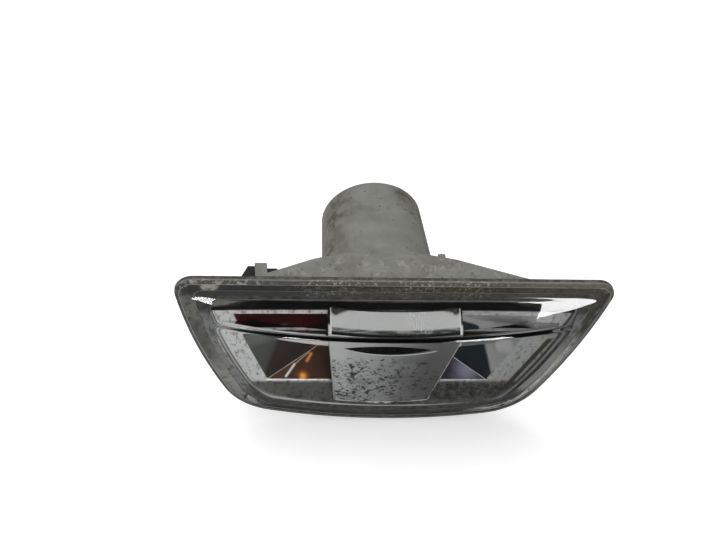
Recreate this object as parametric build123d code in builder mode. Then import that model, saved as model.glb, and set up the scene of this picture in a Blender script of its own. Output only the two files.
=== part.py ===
"""Side repeater lamp: prow-shaped clear lens, housing with a tube, reflector, trim and bulb holder.

Millimetres. X to the right seen from the front, Y back into the car, Z up.
The origin is where the tube's axis crosses the flange's rear face, which seats on the panel.
"""
import os
from math import degrees, hypot, sqrt

from build123d import *

# Flange outline seen from the front, measured at its sharp corners, and its middle's place
flange_x = 1.7
top_width = 111.0
top_z = 19.3
bottom_width = 75.6
flange_height = 48.4
bottom_tilt = 2.0
bottom_bow = 4.9
side_bow = 2.3
top_corner_r = 4.5
bottom_corner_r = 18.0
inner_corner_r = 2.0

# Lens
flange_thickness = 2.0
flange_edge_r = 0.9
dome_inset = 5.3
lens_wall = 2.0
crease_z = 7.0
crease_depth = 8.4
crease_r = 1.0
dome_foot = 1.2
dome_overrun = 0.6
dome_fade = 1.3
crease_fall = 0.62
dome_stations = (-0.98, -0.83, -0.6, -0.3, 0, 0.3, 0.6, 0.83, 0.98)

# Housing
bowl_inset = 4.2
housing_wall = 1.6
tray_depth = 3.0
tray_floor = 1.2
bowl_depth = 13.5
bowl_corner_r = 12.0
shoulder_y = 10.5
shoulder_width = 54.0
shoulder_r = 13.0
neck_step = 0.6
neck_flat = 1.0
neck_r = 15.2
tube_end_r = 13.6
tube_end_y = 41.6
tube_rim_r = 0.5
nub_x = 14.6
nub_width = 1.8
nub_front_y = 10.0
nub_end_y = 14.4
nub_top_z = 13.4
nub_height = 7.0

# Reflector
reflector_wall = 1.2
rim_gap = 0.2
ledge_width = 1.4
reflector_top_z = 7.2
bezel_side_top = 5.5
bezel_side_bottom = 6.4
bezel_bottom = 11.0
funnel_depth = 10.2
bulb_window = 16.0

# Centre trim: keystone cover and two side bars
trim_wall = 1.5
trim_gap = 0.9
cover_top_half = 17.0
cover_bottom_half = 12.6
cover_top_z = 8.6
cover_crease_z = 5.4
cover_bottom_y = -1.2
cover_plan_r = 110.0
slit_half = 11.0
slit_z = 1.3
slit_height = 4.0
bar_bow = 6.2
bar_width = 2.2
bar_bottom_z = 1.5
bar_height = 2.0
foot_half = 8.0
foot_height = 1.6

# Panel fixings
panel_gap = 2.6
lug_x = -31.1
lug_thickness = 3.2
lug_height = 7.2
lug_end_y = 20.2
clip_height = 5.0
clip_pin_y = 16.6
clip_pin_length = 4.0
clip_pin_height = 4.0
clip_head_width = 2.8
clip_head_overhang = 0.8
clip_tip_width = 1.8
clip_root_width = 4.8
clip_root_setback = 1.0
clip_leg = 2.2
clip_step = 1.6
catch_slope = 2.0
catch_overlap = 2.5
catch_gap = 0.4
hook_height = 12.0
hook_thickness = 2.0

# Bulb holder with its quarter-turn lock
lip_front_y = 26.0
lip_thickness = 2.0
lip_bore_r = 9.5
turn_gap = 0.3
lug_count = 3
lug_angle = 20.0
notch_margin = 6.0
lock_angle = 45.0
lug_reach = 2.0
lug_length = 2.3
nose_r = 7.6
nose_front_y = 18.0
holder_flange_r = 11.4
holder_flange_thickness = 1.8
seal_thickness = 1.3
seal_setback = 0.3
shroud_width = 14.0
shroud_height = 10.0
shroud_wall = 1.5
shroud_end_y = 36.8
shroud_floor = 1.8
grip_thickness = 2.0
grip_side_setback = 0.4
grip_end_setback = 1.0

# Wedge-base bulb and its contacts
bulb_r = 5.0
bulb_tip_y = -0.6
glass_wall = 0.7
base_width = 9.5
base_thickness = 2.0
base_length = 6.4
pinch_y = 16.5
bulb_taper = 1.2
bulb_taper_length = 1.5
wire_r = 0.25
post_x = 2.2
lead_setback = 2.0
filament_y = 6.0
coil_r = 0.6
coil_wire_r = 0.22
coil_turns = 5
contact_thickness = 0.4
contact_width = 3.0
contact_x = 2.6
contact_setback = 1.0
blade_width = 2.2
blade_thickness = 0.8
blade_setback = 1.0
socket_gap = 0.25
socket_spare = 4.0

# Derived places
bottom_z = top_z - flange_height
front_y = -flange_thickness
dome_top_z = top_z - dome_inset
dome_low_z = bottom_z - bottom_bow + dome_inset
dome_reach = top_width / 2 - dome_inset + dome_fade
ledge_y = reflector_wall
neck_half = neck_r + neck_step
lip_back_y = lip_front_y + lip_thickness
seal_front_y = lip_back_y + turn_gap
holder_flange_y = seal_front_y + seal_thickness
shroud_front_y = holder_flange_y + holder_flange_thickness
neck_body_r = lip_bore_r - turn_gap
lug_r = neck_body_r + lug_reach
wire_z = base_thickness / 2 + wire_r
contact_z = wire_z + wire_r
socket_half_z = contact_z + contact_thickness
socket_back_y = nose_front_y + base_length + socket_spare
lug_turns = [360 / lug_count * step for step in range(lug_count)]


def section_at(y, x=0):
    """Plane across the tube's axis at depth y, seen from the front, with its middle at x."""
    return Plane((x, y, 0), x_dir=(1, 0, 0), z_dir=(0, -1, 0))


def flange_half(z):
    """Half width of the flange at height z, on its bowed side."""
    run = (top_width - bottom_width) / 2
    share = (top_z - z) / flange_height
    bow = 4 * side_bow * share * (1 - share) * hypot(flange_height, run) / flange_height
    return top_width / 2 - run * share + bow


def outline_face(inset, top_r=0):
    """Flange outline moved inwards by inset, with corners to suit or top corners of top_r."""
    with BuildSketch() as outline:
        with BuildLine():
            top_right = (top_width / 2, top_z)
            top_left = (-top_width / 2, top_z)
            low_right = (bottom_width / 2, bottom_z - bottom_tilt / 2)
            low_left = (-bottom_width / 2, bottom_z + bottom_tilt / 2)
            Line(top_left, top_right)
            SagittaArc(top_right, low_right, side_bow)
            SagittaArc(low_right, low_left, bottom_bow)
            SagittaArc(low_left, top_left, side_bow)
        make_face()
        if inset > 0:
            offset(amount=-inset, kind=Kind.INTERSECTION)
        corners = outline.vertices().sort_by(Axis.Y)
        fillet(corners[:2], max(bottom_corner_r - inset, inner_corner_r))
        fillet(outline.vertices().sort_by(Axis.Y)[-2:], max(top_corner_r - inset, inner_corner_r, top_r))
    return outline.sketch


def tube_r(y):
    """Outside radius of the tapering tube at depth y."""
    return neck_r + (tube_end_r - neck_r) * (y - bowl_depth) / (tube_end_y - bowl_depth)


def ring_sector(inner_r, outer_r, middle_angle, angle):
    """Sector of a ring, angle wide about middle_angle, counted from the top towards the left."""
    first_angle = 90 + middle_angle - angle / 2
    with BuildSketch() as sector:
        with BuildLine():
            PolarLine((0, 0), outer_r, first_angle)
            rim = CenterArc((0, 0), outer_r, first_angle, angle)
            Line(rim @ 1, (0, 0))
        make_face()
        if inner_r > 0:
            Circle(inner_r, mode=Mode.SUBTRACT)
    return sector.sketch


def shoulder_face(inset):
    """Rounded rectangle across the bowl's shoulder, moved inwards by inset."""
    with BuildSketch() as shoulder:
        RectangleRounded(shoulder_width - 2 * inset, 2 * (neck_half - inset), shoulder_r - inset)
    return shoulder.sketch


def neck_face(inset):
    """Nearly round end of the bowl, a small step outside the tube, moved inwards by inset."""
    half = neck_half - inset
    with BuildSketch() as neck:
        RectangleRounded(2 * half, 2 * half, half - neck_flat / 2)
    return neck.sketch


def moved_aside(points, distance):
    """Polyline moved to its right by distance, with mitred corners."""
    lines = []
    for (y0, z0), (y1, z1) in zip(points, points[1:]):
        length = hypot(y1 - y0, z1 - z0)
        shift = ((z1 - z0) / length * distance, -(y1 - y0) / length * distance)
        lines.append(((y0 + shift[0], z0 + shift[1]), (y1 + shift[0], z1 + shift[1])))
    moved = [lines[0][0]]
    for (a, b), (c, d) in zip(lines, lines[1:]):
        run = (b[0] - a[0], b[1] - a[1])
        other = (d[0] - c[0], d[1] - c[1])
        cross = run[0] * other[1] - run[1] * other[0]
        t = ((c[0] - a[0]) * other[1] - (c[1] - a[1]) * other[0]) / cross
        moved.append((a[0] + t * run[0], a[1] + t * run[1]))
    moved.append(lines[-1][1])
    return moved


def dome_body(wall, back_y):
    """Prow-shaped body inside the dome's skin, wall below its surface and open to back_y.

    The crease is deepest in the middle and dies out towards the ends a little faster than an ellipse.
    """
    with BuildPart() as dome:
        for share in dome_stations:
            depth = crease_depth * (1 - share**2) ** crease_fall
            slope = depth / (dome_top_z - crease_z)
            with BuildSketch(Plane.YZ.offset(flange_x + share * dome_reach)):
                with BuildLine():
                    Polyline(
                        (back_y + wall, dome_top_z + dome_overrun),
                        (front_y + slope * dome_overrun, dome_top_z + dome_overrun),
                        (front_y - depth, crease_z),
                        (front_y - dome_foot, dome_low_z - dome_overrun),
                        (back_y + wall, dome_low_z - dome_overrun),
                        close=True,
                    )
                make_face()
                if wall > 0:
                    offset(amount=-wall, kind=Kind.INTERSECTION)
        loft()
        if wall == 0:
            fillet(dome.edges().sort_by(Axis.Y)[0], crease_r)
        with BuildSketch(section_at(back_y, flange_x)):
            add(outline_face(dome_inset + wall))
        extrude(amount=2 * crease_depth + back_y - front_y, mode=Mode.INTERSECT)
    return dome.part


dome_outside = dome_body(0, front_y / 2)
dome_inside = dome_body(lens_wall, flange_thickness)

# Clear lens: flat flange with a rounded rim, and the hollow dome
with BuildPart() as outer_lens:
    with BuildSketch(section_at(0, flange_x)):
        add(outline_face(0))
    extrude(amount=flange_thickness)
    fillet(outer_lens.faces().sort_by(Axis.Y)[0].edges(), flange_edge_r)
    add(dome_outside)
    add(dome_inside, mode=Mode.SUBTRACT)
outer_lens.part.label = "outer_lens"

# Housing: shallow tray, tapering bowl, tube with the lock's lip, and panel fixings
tube_inner_end_r = tube_end_r - housing_wall
neck_inner_r = neck_r - housing_wall
catch_half = flange_half(0) - bowl_inset + catch_overlap
hook_outer_x = flange_x + catch_half
hook_inner_x = hook_outer_x / 2
with BuildPart() as housing:
    with BuildSketch(section_at(0, flange_x)):
        add(outline_face(bowl_inset))
    extrude(amount=-tray_depth)
    with BuildSketch(section_at(tray_depth, flange_x)):
        add(outline_face(bowl_inset, bowl_corner_r))
    with BuildSketch(section_at(shoulder_y)):
        add(shoulder_face(0))
    with BuildSketch(section_at(bowl_depth)):
        add(neck_face(0))
    loft(ruled=True)
    with Locations((lug_x, (tray_depth + lug_end_y) / 2, 0)):
        Box(lug_thickness, lug_end_y - tray_depth, lug_height)
    with Locations(((hook_inner_x + hook_outer_x) / 2, panel_gap + hook_thickness / 2, 0)):
        Box(hook_outer_x - hook_inner_x, hook_thickness, hook_height)
    with Locations((nub_x, (nub_front_y + nub_end_y) / 2, nub_top_z - nub_height / 2)):
        Box(nub_width, nub_end_y - nub_front_y, nub_height)
    with BuildSketch(Plane.XY):
        with BuildLine():
            Polyline(
                (0, shoulder_y),
                (neck_r, shoulder_y),
                (neck_r, bowl_depth),
                (tube_end_r, tube_end_y),
                (0, tube_end_y),
                close=True,
            )
        make_face()
    revolve(axis=Axis.Y)
    fillet(housing.edges().filter_by(GeomType.CIRCLE).sort_by(Axis.Y)[-1], tube_rim_r)
    # Hollow inside: rebate for the reflector, bowl, and tube in front of and behind the lip
    with BuildSketch(section_at(0, flange_x)):
        add(outline_face(bowl_inset + housing_wall))
    extrude(amount=-ledge_y, mode=Mode.SUBTRACT)
    with BuildSketch(section_at(ledge_y, flange_x)):
        add(outline_face(bowl_inset + housing_wall + ledge_width))
    extrude(amount=ledge_y - tray_depth + tray_floor, mode=Mode.SUBTRACT)
    with BuildSketch(section_at(tray_depth - tray_floor, flange_x)):
        add(outline_face(bowl_inset + housing_wall + ledge_width, bowl_corner_r - housing_wall - ledge_width))
    with BuildSketch(section_at(shoulder_y - housing_wall)):
        add(shoulder_face(housing_wall))
    with BuildSketch(section_at(bowl_depth - housing_wall)):
        add(neck_face(housing_wall))
    loft(ruled=True, mode=Mode.SUBTRACT)
    with BuildSketch(Plane.XY):
        with BuildLine():
            Polyline(
                (0, bowl_depth - housing_wall),
                (neck_inner_r, bowl_depth - housing_wall),
                (neck_inner_r, bowl_depth),
                (tube_inner_end_r, tube_end_y),
                (0, tube_end_y),
                close=True,
            )
        make_face()
    revolve(axis=Axis.Y, mode=Mode.SUBTRACT)
    with BuildSketch(section_at(lip_front_y)):
        Circle(tube_r(lip_back_y) - housing_wall / 2)
        Circle(lip_bore_r, mode=Mode.SUBTRACT)
        for turn in lug_turns:
            notch = ring_sector(0, lug_r + turn_gap, turn - lock_angle, lug_angle + notch_margin)
            add(notch, mode=Mode.SUBTRACT)
    extrude(amount=-lip_thickness)
    with Locations((lug_x, clip_pin_y, 0)):
        Box(lug_thickness, clip_pin_length, clip_pin_height, mode=Mode.SUBTRACT)
housing.part.label = "housing"

# Reflector: bezel plate on the housing's ledge, and a four-sided funnel to the bulb's window. The funnel is centred on
# the tube, so the bezel is widest on its right side.
rim_inset = bowl_inset + housing_wall + rim_gap
mouth_top_z = reflector_top_z - reflector_wall
mouth_bottom_z = bottom_z + bezel_bottom
mouth_top_half = flange_half(mouth_top_z) - flange_x - rim_inset - bezel_side_top
mouth_bottom_half = flange_half(mouth_bottom_z) - flange_x - rim_inset - bezel_side_bottom
window_half = bulb_window / 2
mouth = [
    (-mouth_top_half, mouth_top_z),
    (mouth_top_half, mouth_top_z),
    (mouth_bottom_half, mouth_bottom_z),
    (-mouth_bottom_half, mouth_bottom_z),
]
window = [
    (-window_half, window_half),
    (window_half, window_half),
    (window_half, -window_half),
    (-window_half, -window_half),
]
with BuildPart() as reflector:
    with BuildSketch(section_at(0, flange_x)):
        add(outline_face(rim_inset))
        with Locations((0, reflector_top_z + top_z / 2)):
            Rectangle(top_width, top_z, mode=Mode.SUBTRACT)
    extrude(amount=-reflector_wall)
    for grow, mode in ((reflector_wall, Mode.ADD), (0, Mode.SUBTRACT)):
        with BuildSketch(section_at(0)):
            with BuildLine():
                Polyline(*mouth, close=True)
            make_face()
            if grow > 0:
                offset(amount=grow, kind=Kind.INTERSECTION)
        with BuildSketch(section_at(funnel_depth)):
            with BuildLine():
                Polyline(*window, close=True)
            make_face()
            if grow > 0:
                offset(amount=grow, kind=Kind.INTERSECTION)
        loft(ruled=True, mode=mode)
reflector.part.label = "reflector"

# Centre trim: bent keystone cover with an eye-shaped slit, on two side bars and a foot
cover_crease_y = front_y - crease_depth + lens_wall + trim_gap
cover_bottom_z = dome_low_z + lens_wall + trim_gap
bar_half = flange_half(bar_bottom_z) - dome_inset - lens_wall - trim_gap
cover_profile = [
    (front_y / 2, cover_top_z),
    (cover_crease_y, cover_crease_z),
    (cover_bottom_y, cover_bottom_z),
]
cover_back = moved_aside(cover_profile, -trim_wall)
cover_arc = 2 * degrees(cover_top_half / cover_plan_r)
plan_axis = Axis((flange_x, cover_crease_y + cover_plan_r, 0), (0, 0, 1))
with BuildPart() as centre_trim:
    for turn in (-1, 1):
        with BuildSketch(Plane.YZ.offset(flange_x)):
            with BuildLine():
                Polyline(*cover_profile, *reversed(cover_back), close=True)
            make_face()
        revolve(axis=plan_axis, revolution_arc=turn * cover_arc)
    with BuildSketch(section_at(0, flange_x)):
        with BuildLine():
            Polyline(
                (-cover_top_half, top_z),
                (cover_top_half, top_z),
                (cover_top_half, cover_crease_z),
                (cover_bottom_half, cover_bottom_z - trim_wall),
                (-cover_bottom_half, cover_bottom_z - trim_wall),
                (-cover_top_half, cover_crease_z),
                close=True,
            )
        make_face()
    extrude(amount=2 * crease_depth, mode=Mode.INTERSECT)
    with BuildSketch(section_at(0)):
        with BuildLine():
            ThreePointArc((-slit_half, slit_z), (0, slit_z + slit_height / 2), (slit_half, slit_z))
            ThreePointArc((slit_half, slit_z), (0, slit_z - slit_height / 2), (-slit_half, slit_z))
        make_face()
    extrude(amount=2 * crease_depth, mode=Mode.SUBTRACT)
    with BuildSketch(Plane((flange_x, 0, bar_bottom_z))):
        with BuildLine():
            bar_rear_half = bar_half * sqrt(1 - bar_width / bar_bow)
            ThreePointArc((-bar_half, 0), (0, -bar_bow), (bar_half, 0))
            Line((bar_half, 0), (bar_rear_half, 0))
            ThreePointArc((bar_rear_half, 0), (0, bar_width - bar_bow), (-bar_rear_half, 0))
            Line((-bar_rear_half, 0), (-bar_half, 0))
        make_face()
        Rectangle(2 * (cover_top_half - trim_wall), 2 * bar_half, mode=Mode.SUBTRACT)
    extrude(amount=bar_height)
    foot_z = cover_bottom_z + foot_height / 2
    with Locations((flange_x, cover_bottom_y / 2, foot_z)):
        Box(2 * foot_half, -cover_bottom_y, foot_height)
centre_trim.part.label = "centre_trim"

# Retaining clip: flared leg outside the lug, a pin through its window and a head inside
lug_outer_x = lug_x - lug_thickness / 2
lug_inner_x = lug_x + lug_thickness / 2
catch_outer_x = flange_x - catch_half
catch_inner_x = flange_x - flange_half(clip_height / 2) + bowl_inset - catch_gap
leg_root_y = clip_pin_y - clip_pin_length / 2 - clip_root_setback
with BuildPart() as retaining_clip:
    with BuildSketch(Plane.XY.offset(-clip_height / 2)):
        with BuildLine():
            Polyline(
                (lug_outer_x, lug_end_y),
                (lug_outer_x - clip_tip_width, lug_end_y),
                (lug_outer_x - clip_root_width, leg_root_y),
                (catch_outer_x, panel_gap + catch_slope),
                (catch_inner_x, panel_gap),
                (catch_inner_x, panel_gap + catch_slope / 2),
                (lug_outer_x - clip_leg, leg_root_y - clip_step),
                (lug_outer_x, leg_root_y - clip_step),
                close=True,
            )
        make_face()
    extrude(amount=clip_height)
    with Locations((lug_x, clip_pin_y, 0)):
        Box(lug_thickness, clip_pin_length, clip_pin_height)
    with Locations((lug_inner_x + clip_head_width / 2, clip_pin_y, 0)):
        Box(clip_head_width, clip_pin_length + 2 * clip_head_overhang, clip_height)
retaining_clip.part.label = "retaining_clip"

# Bulb holder: nose with the socket, locking lugs, flange, connector shroud and grips
with BuildPart() as bulb_holder:
    with BuildSketch(Plane.XY):
        with BuildLine():
            Polyline(
                (0, nose_front_y),
                (nose_r, nose_front_y),
                (nose_r, lip_front_y - turn_gap - lug_length),
                (neck_body_r, lip_front_y - turn_gap - lug_length),
                (neck_body_r, holder_flange_y),
                (holder_flange_r, holder_flange_y),
                (holder_flange_r, shroud_front_y),
                (0, shroud_front_y),
                close=True,
            )
        make_face()
    revolve(axis=Axis.Y)
    with BuildSketch(section_at(lip_front_y - turn_gap - lug_length)):
        for turn in lug_turns:
            add(ring_sector(nose_r, lug_r, turn, lug_angle))
    extrude(amount=-lug_length)
    with BuildSketch(section_at(shroud_front_y)):
        Rectangle(shroud_width, shroud_height)
    extrude(amount=shroud_front_y - shroud_end_y)
    with BuildSketch(section_at(shroud_front_y)):
        Rectangle(2 * (holder_flange_r - grip_side_setback), grip_thickness)
    extrude(amount=shroud_front_y - shroud_end_y + grip_end_setback)
    with BuildSketch(section_at(shroud_end_y)):
        Rectangle(shroud_width - 2 * shroud_wall, shroud_height - 2 * shroud_wall)
    extrude(amount=shroud_end_y - shroud_front_y - shroud_floor + holder_flange_thickness, mode=Mode.SUBTRACT)
    with BuildSketch(section_at(nose_front_y)):
        Rectangle(base_width + 2 * socket_gap, 2 * socket_half_z)
    extrude(amount=nose_front_y - socket_back_y, mode=Mode.SUBTRACT)
    for side in (-1, 1):
        with BuildSketch(section_at(socket_back_y)):
            with Locations((side * contact_x, 0)):
                Rectangle(blade_width, blade_thickness)
        extrude(amount=socket_back_y - shroud_end_y, mode=Mode.SUBTRACT)
bulb_holder.part.label = "bulb_holder"

# Rubber seal in front of the holder's flange
with BuildPart() as holder_seal:
    with BuildSketch(section_at(holder_flange_y)):
        Circle(holder_flange_r - seal_setback)
        Circle(neck_body_r, mode=Mode.SUBTRACT)
    extrude(amount=seal_thickness)
holder_seal.part.label = "holder_seal"


def contact(side):
    """One contact: strip beside the bulb's base, a jog across the socket's end, and a connector blade."""
    strip_front_y = nose_front_y + contact_setback
    strip_z = side * (contact_z + contact_thickness / 2)
    jog_y = socket_back_y - contact_thickness
    with BuildPart() as strip:
        with Locations((side * contact_x, (strip_front_y + socket_back_y) / 2, strip_z)):
            Box(contact_width, socket_back_y - strip_front_y, contact_thickness)
        jog_height = socket_half_z + blade_thickness / 2
        jog_z = side * (socket_half_z - jog_height / 2)
        with Locations((side * contact_x, jog_y + contact_thickness / 2, jog_z)):
            Box(contact_width, contact_thickness, jog_height)
        blade_end_y = shroud_end_y - blade_setback
        with Locations((side * contact_x, (jog_y + blade_end_y) / 2, 0)):
            Box(blade_width, blade_end_y - jog_y, blade_thickness)
    return strip.part


# The two contacts, one above and one below the bulb's base
contact_left = contact(-1)
contact_left.label = "contact_left"
contact_right = contact(1)
contact_right.label = "contact_right"


def lead_wire(side):
    """One lead: a post inside the bulb, down through the pinch and base, folded up one face of the base."""
    base_end_y = nose_front_y + base_length
    with BuildPart() as lead:
        with BuildLine():
            Line((side * post_x, filament_y, 0), (side * post_x, base_end_y + wire_r, 0))
            fold = ThreePointArc(
                (side * post_x, base_end_y + wire_r, 0),
                (side * post_x, base_end_y + wire_r + wire_z / 2, side * wire_z / 2),
                (side * post_x, base_end_y + wire_r, side * wire_z),
            )
            Line(fold @ 1, (side * post_x, nose_front_y + lead_setback, side * wire_z))
        with BuildSketch(Plane((side * post_x, filament_y, 0), z_dir=(0, 1, 0))):
            Circle(wire_r)
        sweep()
    return lead.part


lead_wire_left = lead_wire(-1)
lead_wire_left.label = "lead_wire_left"
lead_wire_right = lead_wire(1)
lead_wire_right.label = "lead_wire_right"

# Filament: small coil between the two posts
coil_length = 2 * (post_x - wire_r)
with BuildPart() as filament:
    with BuildLine():
        turns = Helix(
            coil_length / coil_turns, coil_length, coil_r,
            center=(-coil_length / 2, filament_y + coil_r + wire_r, 0), direction=(1, 0, 0),
        )
    with BuildSketch(Plane(turns @ 0, z_dir=turns % 0)):
        Circle(coil_wire_r)
    sweep(is_frenet=True)
filament.part.label = "filament"

# Amber bulb glass: blown envelope, flat pinch and wedge base, closed round the leads
taper_y = pinch_y - bulb_taper_length
glass_shoulder_y = bulb_tip_y + bulb_r
cavity_r = bulb_r - glass_wall
cavity_tip_y = bulb_tip_y + glass_wall
with BuildPart() as bulb_glass:
    with BuildSketch(Plane.XY):
        with BuildLine():
            Line((0, bulb_tip_y), (0, nose_front_y))
            Line((0, nose_front_y), (bulb_r - bulb_taper, nose_front_y))
            Line((bulb_r - bulb_taper, nose_front_y), (bulb_r, taper_y))
            Line((bulb_r, taper_y), (bulb_r, glass_shoulder_y))
            RadiusArc((bulb_r, glass_shoulder_y), (0, bulb_tip_y), bulb_r)
        make_face()
    revolve(axis=Axis.Y)
    with BuildSketch(Plane.XY):
        with BuildLine():
            Line((0, cavity_tip_y), (0, pinch_y))
            Line((0, pinch_y), (cavity_r - bulb_taper, pinch_y))
            Line((cavity_r - bulb_taper, pinch_y), (cavity_r, taper_y))
            Line((cavity_r, taper_y), (cavity_r, glass_shoulder_y))
            RadiusArc((cavity_r, glass_shoulder_y), (0, cavity_tip_y), cavity_r)
        make_face()
    revolve(axis=Axis.Y, mode=Mode.SUBTRACT)
    with Locations((0, nose_front_y + base_length / 2, 0)):
        Box(base_width, base_length, base_thickness)
    add(lead_wire_left, mode=Mode.SUBTRACT)
    add(lead_wire_right, mode=Mode.SUBTRACT)
bulb_glass.part.label = "bulb_glass"

os.makedirs("parts", exist_ok=True)
pieces = [
    outer_lens.part,
    housing.part,
    reflector.part,
    centre_trim.part,
    retaining_clip.part,
    bulb_holder.part,
    holder_seal.part,
    contact_left,
    contact_right,
    bulb_glass.part,
    lead_wire_left,
    lead_wire_right,
    filament.part,
]
for piece in pieces:
    export_step(piece, f"parts/{piece.label}.step")
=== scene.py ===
from functools import partial, reduce

import bmesh
import bpy
import numpy as np
from mathutils import Matrix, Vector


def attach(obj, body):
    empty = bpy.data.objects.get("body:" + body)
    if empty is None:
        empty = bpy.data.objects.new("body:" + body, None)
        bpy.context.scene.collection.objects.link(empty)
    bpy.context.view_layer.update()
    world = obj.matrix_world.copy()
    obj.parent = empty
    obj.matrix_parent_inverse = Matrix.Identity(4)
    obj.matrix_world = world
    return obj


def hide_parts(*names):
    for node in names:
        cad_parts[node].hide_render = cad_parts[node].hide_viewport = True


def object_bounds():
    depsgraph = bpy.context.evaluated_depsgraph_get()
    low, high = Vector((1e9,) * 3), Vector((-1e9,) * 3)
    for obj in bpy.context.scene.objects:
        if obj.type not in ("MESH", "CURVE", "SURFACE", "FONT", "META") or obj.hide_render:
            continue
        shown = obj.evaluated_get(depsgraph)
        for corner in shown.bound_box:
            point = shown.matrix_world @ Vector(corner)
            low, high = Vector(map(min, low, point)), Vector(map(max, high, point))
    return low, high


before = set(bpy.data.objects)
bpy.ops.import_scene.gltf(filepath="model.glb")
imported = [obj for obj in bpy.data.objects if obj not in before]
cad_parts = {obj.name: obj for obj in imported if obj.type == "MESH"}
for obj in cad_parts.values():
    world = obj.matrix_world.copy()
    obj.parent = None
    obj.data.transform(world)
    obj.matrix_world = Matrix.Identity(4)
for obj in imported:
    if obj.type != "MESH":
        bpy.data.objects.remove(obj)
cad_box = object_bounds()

# Looks of the side repeater lamp. Sizes are in millimetres in the lamp's own frame: X to the right seen
# from the front, Y back into the car, Z up. Meshes are written in metres.
MM = 0.001

# Flange outline at its sharp corners, and its rounded corners
flange_x = 1.7
top_width = 111.0
top_z = 19.3
bottom_width = 75.6
flange_height = 48.4
bottom_tilt = 2.0
bottom_bow = 4.9
side_bow = 2.3
top_corner_r = 4.5
bottom_corner_r = 18.0
inner_corner_r = 2.0
straight_r = 1.0e6
tiny = 1.0e-9

# Lens
flange_thickness = 2.0
flange_edge_r = 0.9
rim_grime = 1.2
rim_fade = 0.3
weld_inset = 4.3
weld_fade = 0.2
weld_gap = 0.012
low_wall_z = -20.0
low_wall_run = 6.0
rear_edge_r = 0.25
dome_inset = 5.3
lens_wall = 2.0
crease_z = 7.0
crease_depth = 8.4
crease_round = 0.18
inner_crease_round = 0.12
dome_foot = 1.2
dome_overrun = 0.6
dome_fade = 1.3
crease_fall = 0.62
wall_round = 0.35
corner_spread = 3.3
valley_run = 0.8

# Keystone trim's outline
trim_top_half = 17.0
trim_foot_half = 12.8
trim_top_z = 8.6
trim_crease_z = 5.4
trim_foot_z = -25.8
trim_foot_front_y = -0.9
trim_crease_front_y = -5.0
trim_bar_low = 1.3
trim_bar_high = 3.7
edge_slack = 0.15
# Width of the painted highlights along the trim's edges
highlight_width = 0.5
slit_low_z = -0.82
slit_bow = 0.0122
slit_half = 11.3
scuffed_place = (7.5, -3.5, 7.2)

# Film of grime behind the flange
film_outer_inset = 0.15
film_inner_inset = 4.15
film_front_y = 0.02
film_back_y = 0.08

# Stains and dark marks on the tube, with their radii, and how soft their edges are
olive_stains = [
    ((-10.7, 37.5, 9.0), 4.5),
    ((-11.8, 32.0, 7.6), 4.5),
    ((-12.7, 23.1, 5.8), 4.0),
    ((7.8, 38.3, 11.6), 3.0),
]
dark_marks = [((7.8, 38.3, 11.6), 3.5), ((9.7, 34.1, 10.1), 4.0), ((-11.8, 32.0, 7.6), 3.0)]
mark_soft = 0.7

# Lean of the painted shade of the gap at the bezel's right end, and the line along the funnel's walls that
# parts their painted reflections
gap_shade_lean = 0.418
strip_lean = 0.265
strip_y = 4.4

# Painted amber glints on the funnel's floor, reflections of the bulb
amber_low = (-19.7, 0.7, -17.4)
amber_high = (-18.6, 3.6, -14.5)
amber_high_end = (-17.6, 4.9, -13.3)
amber_band = (-18.0, 6.6, -11.5)
amber_band_end = (-13.8, 6.6, -11.6)

# Painted highlights along the funnel floor's edges, a painted white streak, and a painted pale reflection
# in the floor's middle at the right
floor_edges = [((-29.4, 0.0, -18.1), (-8.0, 10.2, -8.0)), ((29.4, 0.0, -18.1), (8.0, 10.2, -8.0))]
streak_start = (-24.1, 0.7, -17.4)
streak_end = (-21.9, 2.9, -15.2)
streak_tip = (-18.0, 5.2, -12.9)
floor_light = (23.9, 2.2, -15.9)

# Damage at the flange's lower edge and a pale blob at its upper left, on the film
crack_start = (-33.9, film_front_y, -23.8)
crack_end = (-35.4, film_front_y, -27.6)
chip_start = (-33.2, film_front_y, -24.9)
chip_end = (-31.6, film_front_y, -27.0)
flake = (-30.9, film_front_y, -26.9)
low_nick = (35.8, film_front_y, -29.4)
pale_blob = (-44.5, 0.0, 17.0)

# Derived places
bottom_z = top_z - flange_height
front_y = -flange_thickness
dome_top_z = top_z - dome_inset
dome_low_z = bottom_z - bottom_bow + dome_inset - dome_overrun
dome_reach = top_width / 2 - dome_inset + dome_fade

# Joining of the CAD nodes' triangles, and the edges that are rounded
weld_distance = 0.002
merge_step = 1.0e-4
flat_angle = 0.5
edge_angle = 25.0
sharp_angle = 30.0
housing_edge_r = 0.3
thin_edge_r = 0.2
trim_edge_r = 0.6
trim_edge_steps = 4
seal_edge_r = 0.25
contact_edge_r = 0.1

# Points on the outline's sides and corners, and grid steps
side_points = 400
corner_points = 80
half_steps = 200
dome_rows = 44
round_steps = 5

# Camera of the photograph: its image's width, its turn from the front, raise, roll, distance and aim
image_width = 722
camera_turn = 10.097
camera_raise = 44.892
camera_roll = 7.787
camera_focal_px = 1250.0
camera_distance = 317.859
camera_aim_x = 6.045
camera_aim_y = -15.117
sensor_width = 36.0
camera_near = 0.01

# Studio floor: its half size in metres, its paper's colour and glow
floor_half = 3.0
paper_white = (0.85, 0.85, 0.85, 1)
paper_glow = 0.4
full_white = (1, 1, 1, 1)

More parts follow.
